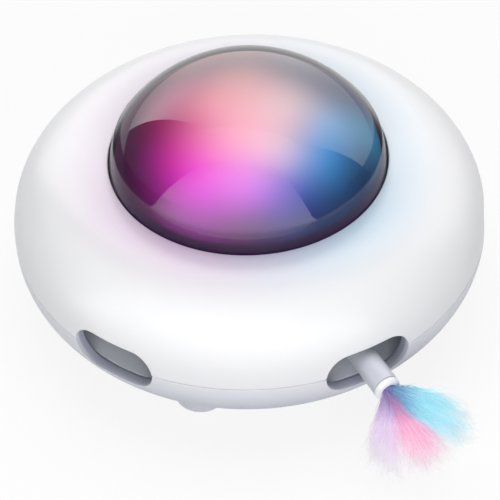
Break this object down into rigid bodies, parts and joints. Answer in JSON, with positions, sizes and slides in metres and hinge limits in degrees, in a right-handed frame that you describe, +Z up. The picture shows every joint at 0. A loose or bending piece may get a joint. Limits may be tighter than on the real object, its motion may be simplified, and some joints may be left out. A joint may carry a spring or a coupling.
{
  "type": "automatic cat toy",
  "caption": "Round battery cat toy: slotted shell, turntable inside that pokes a feather wand out of the slots, and a smoked lit dome on top.",
  "frame": {"origin": "on the axis of the turntable, 1.2 mm below the flat centre of the underside, which is the plane that the rubber feet stand on", "axes": "+Z up through the dome; the feather wand points along -Y; +X to the wand's right seen from behind the toy"},
  "size_m": [0.1894, 0.2276, 0.1072],
  "materials": {
    "cover_white": "satin-gloss moulded ABS",
    "base_white": "satin-gloss moulded ABS",
    "smoked_lens": "polished smoked polycarbonate",
    "gasket_rubber": "matt",
    "inner_plastic": "moulded",
    "diffuser_milk": "milky, frosted",
    "board_green": "solder mask over glass laminate",
    "bare_steel": "plated",
    "brush_brass": "sprung sheet",
    "black_plastic": "moulded",
    "cell_sleeve": "shrink sleeve",
    "foot_rubber": "soft matt",
    "button_white": "moulded",
    "turntable_grey": "moulded",
    "gear_acetal": "acetal",
    "guide_plastic": "moulded",
    "wand_white": "extruded and moulded",
    "feather_blue": "soft dyed down",
    "feather_pink": "soft dyed down",
    "feather_lilac": "soft dyed down",
    "lead_white": "PVC sheath",
    "lead_red": "PVC sheath"
  },
  "bodies": {
    "base": {"top_shell": "cover_white", "bottom_shell": "base_white", "dome_lens": "smoked_lens", "dome_gasket": "gasket_rubber", "light_deck": "inner_plastic", "centre_post": "inner_plastic", "thrust_washer": "inner_plastic", "light_diffuser": "diffuser_milk", "led_board": "board_green", "main_board": "board_green", "port_board": "board_green", "deck_screw_1": "bare_steel", "deck_screw_2": "bare_steel", "deck_screw_3": "bare_steel", "deck_screw_4": "bare_steel", "case_screw_1": "bare_steel", "case_screw_2": "bare_steel", "case_screw_3": "bare_steel", "drive_motor_screw_1": "bare_steel", "drive_motor_screw_2": "bare_steel", "retaining_clip": "bare_steel", "drive_motor": "bare_steel", "usb_port": "bare_steel", "inner_brush": "brush_brass", "outer_brush": "brush_brass", "brush_block": "black_plastic", "battery_tray": "black_plastic", "tact_switch": "black_plastic", "battery_cell": "cell_sleeve", "rubber_foot_front_left": "foot_rubber", "rubber_foot_front_right": "foot_rubber", "rubber_foot_rear_left": "foot_rubber", "rubber_foot_rear_right": "foot_rubber", "led_lead": "lead_white", "battery_lead": "lead_red"},
    "turntable": {"turntable": "turntable_grey", "turntable_gear": "gear_acetal", "slip_ring_board": "board_green", "front_guide": "guide_plastic", "rear_guide": "guide_plastic", "guide_rod_left": "bare_steel", "guide_rod_right": "bare_steel", "wand_motor": "bare_steel", "wand_motor_bracket": "guide_plastic", "mechanism_screw_1": "bare_steel", "mechanism_screw_2": "bare_steel", "mechanism_screw_3": "bare_steel", "mechanism_screw_4": "bare_steel", "mechanism_screw_5": "bare_steel", "mechanism_screw_6": "bare_steel"},
    "wand": {"wand_tube": "wand_white", "wand_carriage": "guide_plastic", "wand_rack": "gear_acetal", "feather_plug": "wand_white", "feather_blue": "feather_blue", "feather_pink": "feather_pink", "feather_lilac": "feather_lilac"},
    "wand_pinion": {"wand_pinion": "gear_acetal"},
    "drive_pinion": {"drive_pinion": "gear_acetal"},
    "power_button": {"power_button": "button_white"}
  },
  "joints": [
    {"name": "turntable_yaw", "type": "hinge", "parent": "base", "child": "turntable", "pos_m": [0, 0, 0.033], "axis": [0, 0, 1], "range_deg": [-6.5, 6.5]},
    {"name": "drive_pinion_spin", "type": "hinge", "parent": "base", "child": "drive_pinion", "pos_m": [-0.039, 0, 0.0275], "axis": [0, 0, 1], "range_deg": [-22.5, 22.5]},
    {"name": "wand_slide", "type": "slide", "parent": "turntable", "child": "wand", "axis": [0, 1, 0], "range_m": [0, 0.044], "deforming": ["feather_blue", "feather_pink", "feather_lilac"]},
    {"name": "wand_pinion_spin", "type": "hinge", "parent": "turntable", "child": "wand_pinion", "pos_m": [0.0148, -0.014, 0.046], "axis": [1, 0, 0], "range_deg": [-1, 422]},
    {"name": "power_button_press", "type": "slide", "parent": "base", "child": "power_button", "axis": [0, 0, 1], "range_m": [0, 0.0008], "stiffness_N_per_m": 400, "springref_m": -0.0005}
  ],
  "couplings": [
    {"joint": "drive_pinion_spin", "follows": "turntable_yaw", "ratio": -3.3333},
    {"joint": "wand_pinion_spin", "follows": "wand_slide", "rad_per_m": 166.67}
  ]
}
